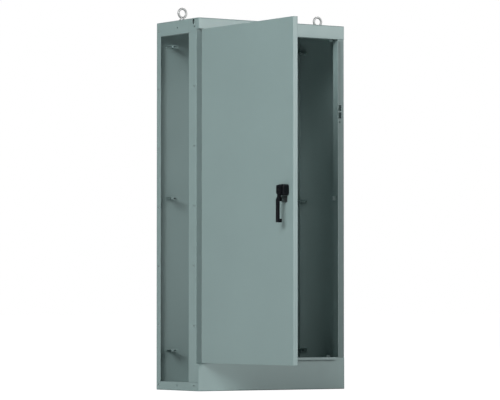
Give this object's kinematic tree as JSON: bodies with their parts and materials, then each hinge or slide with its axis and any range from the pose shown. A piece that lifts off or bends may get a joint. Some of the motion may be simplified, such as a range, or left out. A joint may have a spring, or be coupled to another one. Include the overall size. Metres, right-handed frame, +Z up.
{
  "type": "free-standing disconnect enclosure",
  "caption": "Tall floor-standing steel enclosure for a transfer switch or disconnect, with an open joining side, hinged door, padlocking handle and three-point latch.",
  "frame": {"origin": "centre of the cabinet's footprint on the floor, which is the centre of the floor anchor holes", "axes": "+Z up, -Y out of the front, +X to the right of someone who faces the door"},
  "size_m": [1.0658, 1.3895, 2.209],
  "materials": {
    "enclosure_paint": "semi-gloss grey-green powder coat",
    "zinc_steel": "bright zinc plate, satin",
    "hinge_steel": "plain steel, satin",
    "eyebolt_steel": "forged, zinc plated",
    "handle_black": "black die-cast metal, fine texture",
    "lock_metal": "satin chrome",
    "gasket_foam": "matt closed-cell foam",
    "pocket_plastic": "moulded thermoplastic, satin",
    "roller_nylon": "natural nylon",
    "ground_copper": "plated stud, satin"
  },
  "bodies": {
    "cabinet": {"back_panel": "enclosure_paint", "cabinet_ground_stud": "ground_copper", "collar_bottom": "enclosure_paint", "collar_left": "enclosure_paint", "collar_right": "enclosure_paint", "collar_top": "enclosure_paint", "disconnect_flange": "enclosure_paint", "eyebolt_left": "eyebolt_steel", "eyebolt_nuts": "zinc_steel", "eyebolt_right": "eyebolt_steel", "eyebolt_washers": "zinc_steel", "floor_pan": "enclosure_paint", "front_bottom_band": "enclosure_paint", "front_top_band": "enclosure_paint", "hinge_fixed_leaf": "hinge_steel", "hinge_pin": "hinge_steel", "hinge_post": "enclosure_paint", "joining_washers": "zinc_steel", "keeper_bottom": "enclosure_paint", "keeper_centre": "enclosure_paint", "keeper_top": "enclosure_paint", "left_back_post": "enclosure_paint", "left_bottom_rail": "enclosure_paint", "left_corner_plate": "enclosure_paint", "left_top_rail": "enclosure_paint", "lifting_angle_left": "enclosure_paint", "lifting_angle_right": "enclosure_paint", "panel_bracket_left_high": "enclosure_paint", "panel_bracket_left_low": "enclosure_paint", "panel_bracket_left_middle": "enclosure_paint", "panel_bracket_right_high": "enclosure_paint", "panel_bracket_right_low": "enclosure_paint", "panel_bracket_right_middle": "enclosure_paint", "right_wall": "enclosure_paint", "roof": "enclosure_paint"},
    "door": {"door_shell": "enclosure_paint", "door_gasket": "gasket_foam", "hinge_door_leaf": "hinge_steel", "data_pocket": "pocket_plastic", "handle_base": "handle_black", "padlock_hasp": "zinc_steel", "door_ground_stud": "ground_copper", "rod_guides": "zinc_steel", "handle_screws": "zinc_steel", "door_stiffener_hinge": "enclosure_paint", "door_stiffener_latch": "enclosure_paint"},
    "handle": {"handle_lever": "handle_black", "spindle": "zinc_steel", "latch_cam": "zinc_steel", "cam_pins": "zinc_steel"},
    "key_cylinder": {"key_cylinder": "lock_metal"},
    "upper_rod": {"upper_rod": "zinc_steel", "upper_roller_pin": "zinc_steel"},
    "lower_rod": {"lower_rod": "zinc_steel", "lower_roller_pin": "zinc_steel"},
    "upper_roller": {"upper_roller": "roller_nylon"},
    "lower_roller": {"lower_roller": "roller_nylon"}
  },
  "joints": [
    {"name": "door_swing", "type": "hinge", "parent": "cabinet", "child": "door", "pos_m": [-0.4655, -0.2325, 1.113], "axis": [0, 0, 1], "range_deg": [-90, 90]},
    {"name": "handle_turn", "type": "hinge", "parent": "door", "child": "handle", "pos_m": [-0.5115, -1.091, 1.119], "axis": [1, 0, 0], "range_deg": [0, 90]},
    {"name": "key_turn", "type": "hinge", "parent": "handle", "child": "key_cylinder", "pos_m": [-0.5478, -1.091, 1.119], "axis": [1, 0, 0], "range_deg": [0, 90]},
    {"name": "upper_rod_slide", "type": "slide", "parent": "door", "child": "upper_rod", "axis": [0, 0, 1], "range_m": [-0.017, 0]},
    {"name": "lower_rod_slide", "type": "slide", "parent": "door", "child": "lower_rod", "axis": [0, 0, 1], "range_m": [0, 0.017]},
    {"name": "upper_roller_spin", "type": "hinge", "parent": "upper_rod", "child": "upper_roller", "pos_m": [-0.4495, -1.11074, 2.041], "axis": [0, 1, 0], "continuous": true},
    {"name": "lower_roller_spin", "type": "hinge", "parent": "lower_rod", "child": "lower_roller", "pos_m": [-0.4495, -1.09026, 0.198], "axis": [0, 1, 0], "continuous": true}
  ],
  "couplings": [
    {"joint": "upper_rod_slide", "follows": "handle_turn", "m_per_rad": -0.010822},
    {"joint": "lower_rod_slide", "follows": "handle_turn", "m_per_rad": 0.010822}
  ]
}
